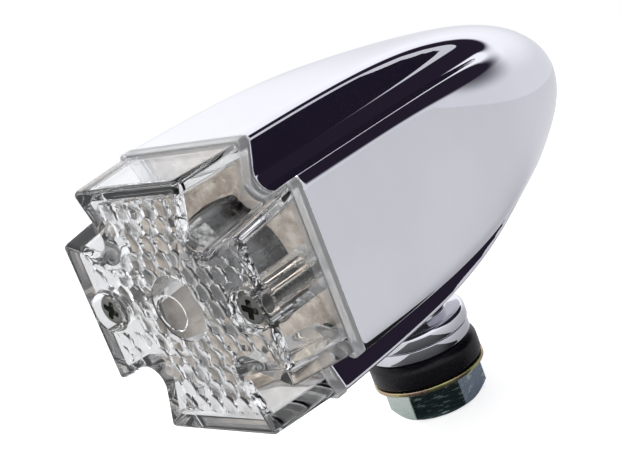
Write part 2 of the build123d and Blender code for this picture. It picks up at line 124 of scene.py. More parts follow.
# %% World and floor
ROOM_WHITE = (1.17, 1.18, 1.22)
ROOM_LOW = (0.84, 0.85, 0.89)
ROOM_DARK = (0.022, 0.016, 0.031)
FLAG_AZIMUTH = 38.0
FLAG_ELEVATION = 36.0
FLAG_RADIUS = 43.0
FLAG_SOFTNESS = 3.0
FLOOR_SIZE = 0.5


def smooth_step(tree, source, low, high, to_min=0.0, to_max=1.0):
    """A soft edge: to_min below low, to_max above high."""
    step = tree.nodes.new("ShaderNodeMapRange")
    step.interpolation_type = "SMOOTHSTEP"
    step.inputs["From Min"].default_value = low
    step.inputs["From Max"].default_value = high
    step.inputs["To Min"].default_value = to_min
    step.inputs["To Max"].default_value = to_max
    tree.links.new(source, step.inputs["Value"])
    return step.outputs["Result"]


def blend_colours(tree, source, stops, socket):
    """Colour that follows a number through a few stops of (place, colour)."""
    ramp = tree.nodes.new("ShaderNodeValToRGB")
    first, last = ramp.color_ramp.elements[0], ramp.color_ramp.elements[1]
    first.position, first.color = stops[0][0], (*stops[0][1], 1.0)
    last.position, last.color = stops[-1][0], (*stops[-1][1], 1.0)
    for place, colour in stops[1:-1]:
        ramp.color_ramp.elements.new(place).color = (*colour, 1.0)
    tree.links.new(source, ramp.inputs["Fac"])
    tree.links.new(ramp.outputs["Color"], socket)


def mix_colours(tree, share, first, second):
    """First colour where share is 0, second where it is 1; either may come from a node."""
    mix = tree.nodes.new("ShaderNodeMix")
    mix.data_type = "RGBA"
    tree.links.new(share, mix.inputs["Factor"])
    for socket, colour in ((mix.inputs[6], first), (mix.inputs[7], second)):
        if isinstance(colour, tuple):
            socket.default_value = (*colour, 1.0)
        else:
            tree.links.new(colour, socket)
    return mix.outputs[2]


def times(tree, first, second):
    node = tree.nodes.new("ShaderNodeMath")
    node.operation = "MULTIPLY"
    tree.links.new(first, node.inputs[0])
    tree.links.new(second, node.inputs[1])
    return node.outputs[0]


def build_world():
    world = bpy.data.worlds.new("studio_room")
    bpy.context.scene.world = world
    world.use_nodes = True
    tree = world.node_tree
    tree.nodes.clear()
    coordinate = tree.nodes.new("ShaderNodeTexCoord")
    axes = tree.nodes.new("ShaderNodeSeparateXYZ")
    tree.links.new(coordinate.outputs["Generated"], axes.inputs[0])
    toward_flag = tree.nodes.new("ShaderNodeVectorMath")
    toward_flag.operation = "DOT_PRODUCT"
    azimuth, elevation = radians(FLAG_AZIMUTH), radians(FLAG_ELEVATION)
    middle = (sin(azimuth) * cos(elevation), cos(azimuth) * cos(elevation), sin(elevation))
    toward_flag.inputs[1].default_value = middle
    tree.links.new(coordinate.outputs["Generated"], toward_flag.inputs[0])
    above_floor = smooth_step(tree, axes.outputs["Z"], -0.16, -0.08)
    edge_out = cos(radians(FLAG_RADIUS + FLAG_SOFTNESS))
    edge_in = cos(radians(FLAG_RADIUS - FLAG_SOFTNESS))
    in_flag = smooth_step(tree, toward_flag.outputs["Value"], edge_out, edge_in)
    dark = times(tree, above_floor, in_flag)
    height = smooth_step(tree, axes.outputs["Z"], -0.05, 0.22)
    lit = mix_colours(tree, height, ROOM_LOW, ROOM_WHITE)
    room = tree.nodes.new("ShaderNodeBackground")
    tree.links.new(mix_colours(tree, dark, lit, ROOM_DARK), room.inputs["Color"])
    backdrop = tree.nodes.new("ShaderNodeBackground")
    backdrop.inputs["Color"].default_value = (1.0, 1.0, 1.0, 1.0)
    path = tree.nodes.new("ShaderNodeLightPath")
    mix = tree.nodes.new("ShaderNodeMixShader")
    tree.links.new(path.outputs["Is Camera Ray"], mix.inputs[0])
    tree.links.new(room.outputs[0], mix.inputs[1])
    tree.links.new(backdrop.outputs[0], mix.inputs[2])
    output = tree.nodes.new("ShaderNodeOutputWorld")
    tree.links.new(mix.outputs[0], output.inputs["Surface"])


def add_area_light(name, direction, distance, size, power):
    data = bpy.data.lights.new(name, "AREA")
    data.shape = "SQUARE"
    data.size = size
    data.energy = power
    light = bpy.data.objects.new(name, data)
    bpy.context.collection.objects.link(light)
    toward = Vector(direction).normalized()
    place = Matrix.Translation(AXIS_POINT + toward * distance)
    light.matrix_world = place @ toward.to_track_quat("Z", "Y").to_matrix().to_4x4()
    return light


def add_floor():
    bpy.ops.object.select_all(action="DESELECT")
    low = CAD_BOX[0][2]
    bpy.ops.mesh.primitive_plane_add(size=FLOOR_SIZE, location=(0, 0, low - 0.2 * MM))
    floor = bpy.context.object
    floor.name = "studio_floor"
    material = bpy.data.materials.new("floor_paper")
    material.use_nodes = True
    shader = material.node_tree.nodes["Principled BSDF"]
    shader.inputs["Base Color"].default_value = (0.62, 0.62, 0.62, 1.0)
    shader.inputs["Roughness"].default_value = 0.9
    shader.inputs["Specular IOR Level"].default_value = 0.1
    shader.inputs["Emission Color"].default_value = (1.0, 1.0, 1.0, 1.0)
    path = material.node_tree.nodes.new("ShaderNodeLightPath")
    glow = smooth_step(material.node_tree, path.outputs["Is Camera Ray"], 0.0, 1.0, 0.12, 0.75)
    material.node_tree.links.new(glow, shader.inputs["Emission Strength"])
    floor.data.materials.append(material)
    return floor


def add_low_card():
    """A black card lying in front of the stem, which only polished surfaces see."""
    bpy.ops.object.select_all(action="DESELECT")
    low = CAD_BOX[0][2]
    bpy.ops.mesh.primitive_plane_add(size=1, location=(40 * MM, -36 * MM, low - 0.1 * MM))
    card = bpy.context.object
    card.name = "low_black_card"
    card.scale = (88 * MM, 62 * MM, 1)
    card.rotation_euler = (0, 0, radians(-43))
    material = bpy.data.materials.new("black_card")
    material.use_nodes = True
    material.node_tree.nodes["Principled BSDF"].inputs["Base Color"].default_value = (0.01, 0.01, 0.01, 1)
    card.data.materials.append(material)
    card.visible_camera = False
    card.visible_diffuse = False
    card.visible_transmission = False
    card.visible_shadow = False
    return card


build_world()
bpy.context.scene.view_settings.view_transform = "Standard"
floor = add_floor()
add_low_card()
add_area_light("key_softbox", (-0.5, -0.75, 0.9), 0.9, 0.5, 4.0)
print("floor at", round(floor.location.z / MM, 2), "mm")

# %% [markdown]
# ## Finishes
#
# One helper sets up a metal, plastic or rubber: a fine noise moves the roughness, and a
# bump gives the surface its grain.  Patterns are read in Object coordinates, so they stay
# with the piece.  Values that are the same all over are set on the shader itself.

# %% Finish helpers


def new_material(name):
    material = bpy.data.materials.new(name)
    material.use_nodes = True
    tree = material.node_tree
    return material, tree, tree.nodes["Principled BSDF"]


def object_noise(tree, scale, detail=3.0, stretch=(1, 1, 1)):
    """Noise in the piece's own coordinates; scale is in bumps per metre."""
    coordinate = tree.nodes.new("ShaderNodeTexCoord")
    mapping = tree.nodes.new("ShaderNodeMapping")
    mapping.inputs["Scale"].default_value = stretch
    noise = tree.nodes.new("ShaderNodeTexNoise")
    noise.inputs["Scale"].default_value = scale
    noise.inputs["Detail"].default_value = detail
    tree.links.new(coordinate.outputs["Object"], mapping.inputs["Vector"])
    tree.links.new(mapping.outputs["Vector"], noise.inputs["Vector"])
    return noise.outputs["Fac"]


def vary(tree, source, low, high, socket):
    """Feed a shader number that wanders between low and high."""
    span = tree.nodes.new("ShaderNodeMapRange")
    span.inputs["From Min"].default_value = 0.3
    span.inputs["From Max"].default_value = 0.7
    span.inputs["To Min"].default_value = low
    span.inputs["To Max"].default_value = high
    tree.links.new(source, span.inputs["Value"])
    tree.links.new(span.outputs["Result"], socket)


def add_bump(tree, source, height, shader, strength=1.0):
    bump = tree.nodes.new("ShaderNodeBump")
    bump.inputs["Distance"].default_value = height
    bump.inputs["Strength"].default_value = strength
    tree.links.new(source, bump.inputs["Height"])
    tree.links.new(bump.outputs["Normal"], shader.inputs["Normal"])


def surface_finish(name, light, dark, metallic, smooth, rough, grain=900.0, relief=0.01,
                   patch=60.0, stretch=(1, 1, 1)):
    """A worked surface: colour from dark to light in patches, roughness from smooth to rough."""
    material, tree, shader = new_material(name)
    shader.inputs["Metallic"].default_value = metallic
    patches = object_noise(tree, patch, 4.0, stretch)
    grains = object_noise(tree, grain, 5.0, stretch)
    blend_colours(tree, patches, [(0.35, dark), (0.65, light)], shader.inputs["Base Color"])
    vary(tree, grains, smooth, rough, shader.inputs["Roughness"])
    add_bump(tree, grains, relief * MM, shader)
    return material


def clear_finish(name, tint, index, roughness=0.0, relief=0.0, grain=300.0):
    """Glass or acrylic, with the faint ripple that moulding leaves."""
    material, tree, shader = new_material(name)
    shader.inputs["Transmission Weight"].default_value = 1.0
    shader.inputs["IOR"].default_value = index
    ripple = object_noise(tree, grain, 2.0)
    blend_colours(tree, ripple, [(0.3, tint), (0.7, (1.0, 1.0, 1.0))], shader.inputs["Base Color"])
    vary(tree, ripple, roughness, roughness + 0.02, shader.inputs["Roughness"])
    if relief:
        add_bump(tree, ripple, relief * MM, shader)
    return material


chrome = surface_finish("chrome_plate", (0.74, 0.74, 0.79), (0.69, 0.69, 0.74), 1.0, 0.015, 0.05,
                        grain=1400.0, relief=0.0006, patch=35.0)
cast_inside = surface_finish("raw_casting", (0.62, 0.59, 0.55), (0.42, 0.39, 0.35), 0.6, 0.4, 0.65,
                             grain=2200.0, relief=0.02)
bright_aluminium = surface_finish("dulled_aluminium", (0.74, 0.67, 0.59), (0.42, 0.35, 0.29), 1.0,
                                  0.22, 0.5, grain=900.0, relief=0.09, patch=420.0)
dark_screw = surface_finish("dark_passivated_steel", (0.20, 0.20, 0.18), (0.09, 0.09, 0.085), 1.0,
                            0.28, 0.5, grain=2500.0, relief=0.006)
zinc_blue = surface_finish("bright_zinc", (0.50, 0.57, 0.58), (0.28, 0.36, 0.35), 1.0, 0.14, 0.36,
                           grain=1300.0, relief=0.006, patch=90.0, stretch=(1, 1, 5))
zinc_yellow = surface_finish("yellow_zinc", (0.52, 0.56, 0.20), (0.55, 0.36, 0.30), 1.0, 0.16, 0.34,
                             grain=1300.0, relief=0.004, patch=170.0)
black_rubber = surface_finish("moulded_rubber", (0.006, 0.005, 0.007), (0.003, 0.002, 0.004), 0.0,
                              0.22, 0.40, grain=2600.0, relief=0.008)
black_rubber.node_tree.nodes["Principled BSDF"].inputs["Specular IOR Level"].default_value = 0.22
grey_silicone = surface_finish("grey_silicone", (0.62, 0.62, 0.60), (0.50, 0.50, 0.48), 0.0,
                               0.3, 0.5, grain=1800.0, relief=0.006)
brass = surface_finish("plain_brass", (0.83, 0.66, 0.33), (0.60, 0.44, 0.20), 1.0, 0.2, 0.4,
                       grain=1500.0, relief=0.004)
steel_plate = surface_finish("zinc_steel", (0.70, 0.70, 0.69), (0.50, 0.50, 0.50), 1.0, 0.25, 0.45,
                             grain=1500.0, relief=0.004)
phenolic = surface_finish("phenolic_sheet", (0.30, 0.14, 0.06), (0.18, 0.08, 0.03), 0.0, 0.4, 0.6,
                          grain=1800.0, relief=0.01)
black_glass = surface_finish("fused_black_glass", (0.03, 0.03, 0.04), (0.01, 0.01, 0.015), 0.0,
                             0.05, 0.15, grain=900.0, relief=0.003)
tungsten = surface_finish("tungsten_wire", (0.30, 0.30, 0.32), (0.18, 0.18, 0.20), 1.0, 0.4, 0.6,
                          grain=4000.0, relief=0.002)
bulb_clear = clear_finish("blown_glass", (0.97, 0.98, 0.97), 1.50, 0.0)
lens_clear = clear_finish("moulded_acrylic", (0.93, 0.935, 0.925), 1.49, 0.0, relief=0.002)


def paint_face_shade_round_the_bolt(material):
    """Painted light and shade on the bolt's hex: a lit green-grey face, a shaded dark face, then a half-lit
    blue-grey face, set by the turn round the bolt; real scratch wear goes over it.
    """
    tree = material.node_tree
    shader = tree.nodes["Principled BSDF"]
    coordinate = tree.nodes.new("ShaderNodeTexCoord")
    axes = tree.nodes.new("ShaderNodeSeparateXYZ")
    tree.links.new(coordinate.outputs["Object"], axes.inputs[0])
    turn = tree.nodes.new("ShaderNodeMath")
    turn.operation = "ARCTAN2"
    tree.links.new(axes.outputs["Y"], turn.inputs[0])
    tree.links.new(axes.outputs["X"], turn.inputs[1])
    # Painted shade: the face colour steps at two corners of the hex, from lit to shaded to half lit.
    past_first_corner = smooth_step(tree, turn.outputs[0], radians(-82), radians(-78))
    past_second_corner = smooth_step(tree, turn.outputs[0], radians(-20), radians(-17))
    tint = mix_colours(tree, past_first_corner, PAINTED_LIT_GREEN_ZINC, PAINTED_SHADED_ZINC)
    tint = mix_colours(tree, past_second_corner, tint, PAINTED_HALF_LIT_BLUE_ZINC)
    scratches = object_noise(tree, 420.0, 6.0, (1, 1, 7))
    painted_shade_and_wear = mix_colours(tree, smooth_step(tree, scratches, 0.56, 0.66), tint, WORN_ZINC)
    tree.links.new(painted_shade_and_wear, shader.inputs["Base Color"])


# Painted light and shade of the hex faces: the lit face green-grey, the shaded face dark, the half-lit face
# blue-grey. The worn colour is real scratch wear.
PAINTED_LIT_GREEN_ZINC = (0.60, 0.68, 0.64)
PAINTED_SHADED_ZINC = (0.06, 0.10, 0.10)
PAINTED_HALF_LIT_BLUE_ZINC = (0.24, 0.30, 0.38)
WORN_ZINC = (0.55, 0.66, 0.62)
paint_face_shade_round_the_bolt(zinc_blue)


def frost_the_flange(material):
    """The flange comes from the unpolished part of the mould: its skin is dull and milky."""
    tree = material.node_tree
    shader = tree.nodes["Principled BSDF"]
    coordinate = tree.nodes.new("ShaderNodeTexCoord")
    axes = tree.nodes.new("ShaderNodeSeparateXYZ")
    tree.links.new(coordinate.outputs["Object"], axes.inputs[0])
    start = RIM_Y - 2.35 * MM
    dull = smooth_step(tree, axes.outputs["Y"], start, start + 0.25 * MM, 0.0, 1.0)
    rough = smooth_step(tree, dull, 0.0, 1.0, 0.004, 0.32)
    clear = smooth_step(tree, dull, 0.0, 1.0, 1.0, 0.72)
    tree.links.new(rough, shader.inputs["Roughness"])
    tree.links.new(clear, shader.inputs["Transmission Weight"])


frost_the_flange(lens_clear)


def give(node_name, material):
    """Put a finish on every material slot of a node of the frame."""
    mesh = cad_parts[node_name].data
    mesh.materials.clear()
    mesh.materials.append(material)


NODE_FINISH = {
    "housing": chrome, "neck_collar": chrome, "lens": lens_clear, "lens_screws": dark_screw,
    "lens_gasket": grey_silicone, "reflector": bright_aluminium, "bulb_glass": bulb_clear,
    "bulb_base": brass, "bulb_pins": brass, "bulb_insulator": black_glass, "bulb_contact": steel_plate,
    "bulb_stem": bulb_clear, "bulb_support_wires": steel_plate, "bulb_filament": tungsten,
    "socket_shell": steel_plate, "socket_wafer": phenolic, "contact_disc": phenolic,
    "contact_plunger": brass, "contact_spring": steel_plate, "live_terminal": brass,
    "socket_bracket": steel_plate, "bracket_screws": steel_plate, "earth_terminal": brass,
    "rubber_ring": black_rubber, "flat_washer": zinc_yellow, "hollow_bolt": zinc_blue,
}
for node_name, finish in NODE_FINISH.items():
    give(node_name, finish)
print(len(NODE_FINISH), "nodes have a finish of their own")

# %% [markdown]
# ## Helpers for new pieces
#
# Each new piece ends the same way: doubled points are merged, its faces turned outwards,
# its round parts shaded smooth, and it is hung on the body it moves with.

# %% Piece helpers
MERGE = 0.001 * MM


def only(piece):
    """Select one piece and nothing else."""
    bpy.ops.object.select_all(action="DESELECT")
    piece.select_set(True)
    bpy.context.view_layer.objects.active = piece
    return piece


def place_in_mesh(piece):
    only(piece)
    bpy.ops.object.transform_apply(location=True, rotation=True, scale=True)


def close_shell(piece):
    """Merge doubled points and turn the faces outwards."""
    only(piece)
    bpy.ops.object.mode_set(mode="EDIT")
    bpy.ops.mesh.select_all(action="SELECT")
    bpy.ops.mesh.remove_doubles(threshold=MERGE)
    bpy.ops.mesh.normals_make_consistent(inside=False)
    bpy.ops.object.mode_set(mode="OBJECT")


def hang(piece, body, node, material, crease=30.0):
    """Give a finished piece its shading, its body and its finish, and hide the node it stands for."""
    place_in_mesh(piece)
    bpy.ops.object.shade_smooth_by_angle(angle=radians(crease))
    piece.data.materials.clear()
    piece.data.materials.append(material)
    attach(piece, body)
    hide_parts(node)
    print(piece.name, len(piece.data.polygons), "faces, for", node)
    return piece


def apply_modifier(piece, modifier):
    only(piece)
    bpy.ops.object.modifier_apply(modifier=modifier.name)


def cut_away(piece, tool):
    """Boolean difference; the tool is used up."""
    cut = piece.modifiers.new("cut", "BOOLEAN")
    cut.operation = "DIFFERENCE"
    cut.solver = "EXACT"
    cut.object = tool
    apply_modifier(piece, cut)
    bpy.data.objects.remove(tool)


def turned_piece(name, profile, segments=128):
    """Ring by ring: a circle is extruded and scaled along (radius, height) points, all in
    millimetres.  The last ring is joined to the first, so the profile is a closed loop."""
    bpy.ops.object.select_all(action="DESELECT")
    radius, height = profile[0]
    bpy.ops.mesh.primitive_circle_add(vertices=segments, radius=radius * MM, location=(0, 0, height * MM))
    piece = bpy.context.object
    piece.name = name
    bpy.ops.object.mode_set(mode="EDIT")
    bpy.ops.mesh.select_all(action="SELECT")
    for next_radius, next_height in profile[1:] + profile[:1]:
        rise = (0, 0, (next_height - height) * MM)
        bpy.ops.mesh.extrude_region_move(TRANSFORM_OT_translate={"value": rise})
        ratio = next_radius / radius
        bpy.ops.transform.resize(value=(ratio, ratio, 1))
        radius, height = next_radius, next_height
    bpy.ops.object.mode_set(mode="OBJECT")
    place_in_mesh(piece)
    close_shell(piece)
    return piece


def corner_arc(point, toward_start, toward_end, radius, steps):
    """Points of a round corner between two straight edges.  slerp gives a direction of length
    one, so it is multiplied by the radius."""
    half_angle = toward_start.angle(toward_end) / 2
    centre = point + (toward_start + toward_end).normalized() * radius / sin(half_angle)
    start = (point + toward_start * radius / tan(half_angle) - centre).normalized()
    end = (point + toward_end * radius / tan(half_angle) - centre).normalized()
    return [centre + radius * start.slerp(end, step / steps) for step in range(steps + 1)]


def rounded(points, radii, steps=5):
    """Round the corners of a closed profile: one radius for each point, zero for a sharp one."""
    outline = []
    for place, (point, radius) in enumerate(zip(points, radii)):
        here = Vector(point)
        if not radius:
            outline.append(tuple(here))
            continue
        before = (Vector(points[place - 1]) - here).normalized()
        after = (Vector(points[(place + 1) % len(points)]) - here).normalized()
        outline += [tuple(spot) for spot in corner_arc(here, before, after, radius, steps)]
    return outline


def along_lamp(piece, x=0.0, station=0.0):
    """Lay an upright piece down on the lamp axis: its height becomes the station."""
    only(piece)
    piece.rotation_euler = (radians(-90), 0, 0)
    piece.location = AXIS_POINT + Vector((x, station, 0)) * MM
    place_in_mesh(piece)
    return piece


print("rings of", 128, "segments make the turned pieces")

# %% [markdown]
# ## Housing
#
# The body is a rounded square that runs to a smooth nose, with four straight flutes cut into
# its corners and a soft edge, about a millimetre, where each flute meets an arm.
# It could be cut from a solid with booleans and bevels, but chrome shows every flat and every
# bad bevel where a flute runs out.  A grid bent round the lamp, each point set where the
# ray from the axis meets the outline, keeps the whole skin smooth, so it is made that way.

# %% Housing outline
BOSS_LOW = 13.6 * MM
STEM_BORE = 6.25 * MM
NOSE_POWER = 2.6
TIP_HALF = 15.3 * MM
ROOT = 16.0 * MM
ROOT_HALF = 12.85 * MM
NOTCH_RADIUS = 2.87 * MM
NOTCH_CENTRE = 15.865 * MM
NOTCH_END = 30.06 * MM
FLANK_SLOPE = (TIP_HALF - ROOT_HALF) / (TIP - ROOT)
EDGE_DEPTH = 0.9 * MM
EDGE_WIDTH = 2.8 * MM
HOUSING_WALL = 2.0 * MM
CAVITY_END = 58.0 * MM
REBATE_WALL = 0.8 * MM
REBATE_DEPTH = 0.85 * MM


def body_half(station):
    """Half the width between two opposite arm faces."""
    return TIP * np.sqrt(np.clip(1 - (station / BODY_LENGTH) ** NOSE_POWER, 0, 1))


def squareness(station):
    """Exponent of the rounded square: nearly square at the rim, round at the nose."""
    return 2 + 17 * (1 - station / BODY_LENGTH) ** 3


def outline_level(radius, angle, station):
    """How far a point of a cross-section lies outside the metal: below zero in it.
    The angle runs from the middle of an arm, 0, to the middle of a flute, 45 degrees."""
    across = radius * np.sin(angle)
    along = radius * np.cos(angle)
    power = squareness(station)
    body = (across ** power + along ** power) ** (1 / power) - body_half(station)
    tilt = sqrt(1 + FLANK_SLOPE ** 2)
    flank = (across - ROOT_HALF - FLANK_SLOPE * (along - ROOT)) / tilt
    far_flank = (along - ROOT_HALF - FLANK_SLOPE * (across - ROOT)) / tilt
    notch = NOTCH_RADIUS - np.hypot(across - NOTCH_CENTRE, along - NOTCH_CENTRE)
    near_notch = across + along < NOTCH_END
    flute = np.minimum(flank, far_flank)
    flute = np.where(near_notch, np.minimum(flute, notch), flute)
    soft = EDGE_DEPTH * (np.hypot(body / EDGE_DEPTH + 1, flute / EDGE_WIDTH + 1) - 1)
    at_edge = (body > -EDGE_DEPTH) & (flute > -EDGE_WIDTH)
    return np.where(at_edge, soft, np.maximum(body, flute))


def skin_radius(angle, station, level):
    """Distance from the lamp axis to the surface at a level, found by halving."""
    low = np.zeros_like(angle)
    high = np.full_like(angle, 1.5 * TIP)
    for _ in range(40):
        middle = (low + high) / 2
        inside = outline_level(middle, angle, station) < level
        low = np.where(inside, middle, low)
        high = np.where(inside, high, middle)
    return low


def octant_angles(station):
    """Angles from an arm's middle to a flute's middle, close together at the arm's edge."""
    half = body_half(station)
    edge_half = ROOT_HALF + FLANK_SLOPE * (half - ROOT)
    edge = np.degrees(np.arctan2(edge_half, np.maximum(half, 1e-6)))
    edge = min(float(edge), 38.0)
    stops = [0.0, edge - 6.0, edge + 0.7, 39.6, 45.0]
    counts = [10, 22, 8, 8]
    angles = [np.linspace(low, high, count, endpoint=False)
              for low, high, count in zip(stops, stops[1:], counts)]
    return np.radians(np.concatenate(angles + [[45.0]]))


def round_the_lamp(values):
    """Mirror one octant's values round all eight, the last column on the first."""
    there_and_back = np.concatenate([values, values[-2::-1]])
    quarter = there_and_back[:-1]
    return np.concatenate([quarter] * 4 + [values[:1]])


def housing_rows():
    """Stations and skin levels from the cavity's end, forward to the rim and back to the nose."""
    inside = [(station * MM, -HOUSING_WALL) for station in np.linspace(58, 3, 14)]
    rim = [(REBATE_DEPTH, -HOUSING_WALL), (REBATE_DEPTH, -REBATE_WALL), (0.0, -REBATE_WALL),
           (0.0, -0.20 * MM), (0.06 * MM, -0.06 * MM), (0.20 * MM, 0.0)]
    turns = np.linspace(0.006, 1, 112)
    outside = [(BODY_LENGTH * sin(pi / 2 * turn), 0.0) for turn in turns]
    return inside + rim + outside


def shape_housing():
    rows = housing_rows()
    columns = len(round_the_lamp(octant_angles(0.0)))
    bpy.ops.object.select_all(action="DESELECT")
    bpy.ops.mesh.primitive_grid_add(x_subdivisions=columns - 1, y_subdivisions=len(rows), size=2 * TIP)
    housing = bpy.context.object
    housing.name = "housing_skin"
    turn_of_octant = np.repeat(np.arange(8), len(octant_angles(0.0)) - 1)
    points = []
    for place, (station, level) in enumerate([(CAVITY_END, None)] + rows):
        angles = octant_angles(station)
        radii = np.zeros_like(angles) if level is None else skin_radius(angles, station, level)
        folded = round_the_lamp(angles)
        even = np.append(turn_of_octant % 2 == 0, True)
        turn = np.append(turn_of_octant, 8) * pi / 4
        full = np.where(even, turn + folded, turn + pi / 4 - folded)
        spread = round_the_lamp(radii)
        points.append(np.stack([spread * np.sin(full), np.full_like(full, station),
                                spread * np.cos(full)], axis=1))
    points = np.concatenate(points) + np.array(AXIS_POINT)
    housing.data.vertices.foreach_set("co", points.ravel())
    housing.data.update()
    close_shell(housing)
    return housing


def drill_stem_bore(housing):
    bpy.ops.object.select_all(action="DESELECT")
    bpy.ops.mesh.primitive_cylinder_add(vertices=96, radius=STEM_BORE, depth=8 * MM,
                                        location=(0, 0, BOSS_LOW + 3 * MM))
    cut_away(housing, only(bpy.context.object))


housing = shape_housing()
drill_stem_bore(housing)
hang(housing, "lamp", "housing", chrome, crease=40.0)

# %% [markdown]
# The boss under the body and the two posts that take the lens screws are plain turned
# parts of the same casting.  They overlap its wall, as welds would, so no seam shows.

# %% Boss and posts of the housing
boss = turned_piece("housing_boss", rounded([(6.25, 13.6), (6.7, 13.6), (6.7, 16.8), (6.25, 16.8)],
                                            [0, 0.12, 0, 0], steps=3))
hang(boss, "lamp", "housing", chrome)
SCREW_OFFSET = 17.2
for side, word in ((-1, "left"), (1, "right")):
    post = turned_piece(
        f"housing_post_{word}",
        [(1.55, 2.2), (3.3, 2.2), (3.4, 2.4), (3.4, 18.0), (1.55, 18.0)], segments=48)
    along_lamp(post, x=side * SCREW_OFFSET)
    hang(post, "lamp", "housing", cast_inside)

# %% [markdown]
# ## Lens
#
# The lens is a clear cross-shaped cap.  Its outside is smooth and drafted; inside its front
# wall sit small hexagonal pillows, which spread the bulb's light.  Pillows could be copied
# one by one, or the wall could be displaced, but then their creases would be soft.  Here the
# flat walls are triangulated around their own outlines, with every crease an edge of its own,
# and the side walls are rings of the same outline joined one to the next.

# %% Lens measures
FLANGE = 2.2
LENS_WALL = 2.2
FRONT_WALL = 2.4
DEPTH = LENS_DEPTH / MM
RIM_CROSS = (22.5, 15.3, 16.0, 12.85)
BASE_CROSS = (21.9, 14.6, 15.3, 12.15)
FRONT_CROSS = (21.6, 12.85, 14.4, 10.35)
LENS_CORNER = 0.8
LEAST_CORNER = 0.12
FRONT_MARGIN = 0.02
SLIVER = 0.0001
LENS_NOTCH = 3.4
FRONT_ROUND = 0.7
POST_RADIUS = 3.9
COUNTERBORE_RADIUS = 3.5
COUNTERBORE_DEPTH = 3.2
SCREW_HOLE = 1.65
CELL_ACROSS = 3.3
CELL_HEIGHT = 0.5
BOSS_RADIUS = 5.85
BOSS_HEIGHT = 0.9
DISC_RADIUS = 3.15
GROOVE_DEPTH = 0.12

# %% [markdown]
# ## Outline of the lens
#
# The cross is drawn as one eighth, then mirrored and turned to go all the way round.  Each
# arm ends in a small corner and the notch between two arms is an arc, so one function gives
# every section of the lens.

# %% Cross outline


def straight(start, end, steps):
    """Points from start, short of end."""
    return [start.lerp(end, step / steps) for step in range(steps)]


def eighth_of_cross(tip, tip_half, root, root_half, corner, post):
    """From the middle of an arm's end to the bottom of the notch beside it."""
    tip_corner = Vector((tip_half, tip))
    root_corner = Vector((root_half, root))
    arc = corner_arc(tip_corner, Vector((-1, 0)), (root_corner - tip_corner).normalized(), corner, 6)
    if post:
        reach = sqrt(post ** 2 - (tip - SCREW_OFFSET) ** 2)
        last = atan2(reach, tip - SCREW_OFFSET)
        face = [Vector((post * sin(pi - turn), SCREW_OFFSET + post * cos(pi - turn)))
                for turn in [(pi - last) * step / 8 for step in range(8)]]
        face += straight(Vector((reach, tip)), arc[0], 4)
    else:
        face = straight(Vector((0, tip)), arc[0], 12)
    flank = straight(arc[-1], root_corner, 6)
    bottom = (root + root_half) / 2
    half_chord = (root - root_half) / sqrt(2)
    radius = LENS_NOTCH
    centre = bottom + sqrt(radius ** 2 - half_chord ** 2) / sqrt(2)
    start_turn = atan2(root - centre, root_half - centre) % (2 * pi)
    notch = [Vector((centre + radius * cos(turn), centre + radius * sin(turn)))
             for turn in [start_turn + (1.25 * pi - start_turn) * step / 8 for step in range(9)]]
    return face + arc[:-1] + flank + notch


def cross_outline(cross, inset=0.0, corner=LENS_CORNER, posts=False):
    """Points (x, z) once round the cross, always as many, from the top arm clockwise."""
    sizes = [size - inset for size in cross]
    points = []
    for quarter in range(4):
        across_arm = eighth_of_cross(*sizes, corner, POST_RADIUS if posts and quarter % 2 else 0)
        next_arm = eighth_of_cross(*sizes, corner, POST_RADIUS if posts and quarter % 2 == 0 else 0)
        turned = across_arm[:-1] + [Vector((point.y, point.x)) for point in reversed(next_arm[1:])]
        turn = Matrix.Rotation(-quarter * pi / 2, 2)
        points += [turn @ point for point in turned]
    return points


def blend_cross(first, second, share):
    return tuple(a + (b - a) * share for a, b in zip(first, second))


def circle(radius, count, x=0.0, z=0.0):
    turns = [2 * pi * place / count for place in range(count)]
    return [Vector((x + radius * cos(turn), z + radius * sin(turn))) for turn in turns]


print(len(cross_outline(RIM_CROSS)), "points go round the cross")

# %% [markdown]
# ## Honeycomb
#
# Low hexagonal pillows stand on the inside of the front wall and scatter the light.
# They fade out towards the outline of the wall, which also goes round the screw posts.  The
# middle of the wall is a low round boss instead.

# %% Honeycomb


def cell_centres():
    """Centres of the hexagonal cells over the whole front."""
    step = CELL_ACROSS
    row_step = step * sqrt(3) / 2
    rows = int(24 / row_step)
    return [Vector(((place + 0.5 * (row % 2)) * step, row * row_step))
            for row in range(-rows, rows + 1) for place in range(-8, 9)]


CELLS = np.array([tuple(centre) for centre in cell_centres()])


def to_outline(points, outline):
    """Distance of points from an outline, positive inside it."""
    points = np.array(points)[:, None, :]
    starts = np.array([tuple(point) for point in outline])[None, :, :]
    ends = np.roll(starts, -1, axis=1)
    edge = ends - starts
    share = ((points - starts) * edge).sum(2) / (edge ** 2).sum(2)
    nearest = starts + np.clip(share, 0, 1)[..., None] * edge
    away = np.linalg.norm(points - nearest, axis=2).min(1)
    px, pz = points[..., 0], points[..., 1]
    crosses = (starts[..., 1] > pz) != (ends[..., 1] > pz)
    rise = np.where(edge[..., 1] == 0, 1e-12, edge[..., 1])
    meets = starts[..., 0] + (pz - starts[..., 1]) / rise * edge[..., 0]
    inside = (crosses & (px < meets)).sum(1) % 2 == 1
    return np.where(inside, away, -away)


def pillow_height(points, outline):
    """Height of the optics over the inner front wall, for points (x, z)."""
    points = np.array(points)
    to_cell = np.linalg.norm(points[:, None, :] - CELLS[None], axis=2).min(1)
    circumradius = CELL_ACROSS / sqrt(3)
    dome = CELL_HEIGHT * (1 - (to_cell / circumradius) ** 2)
    fade = np.clip((to_outline(points, outline) - 0.25) / 0.7, 0, 1)
    from_centre = np.linalg.norm(points, axis=1)
    boss = BOSS_HEIGHT + 0.25 * (1 - (from_centre / BOSS_RADIUS) ** 2)
    return np.where(from_centre < BOSS_RADIUS - 0.03, boss, dome * fade)


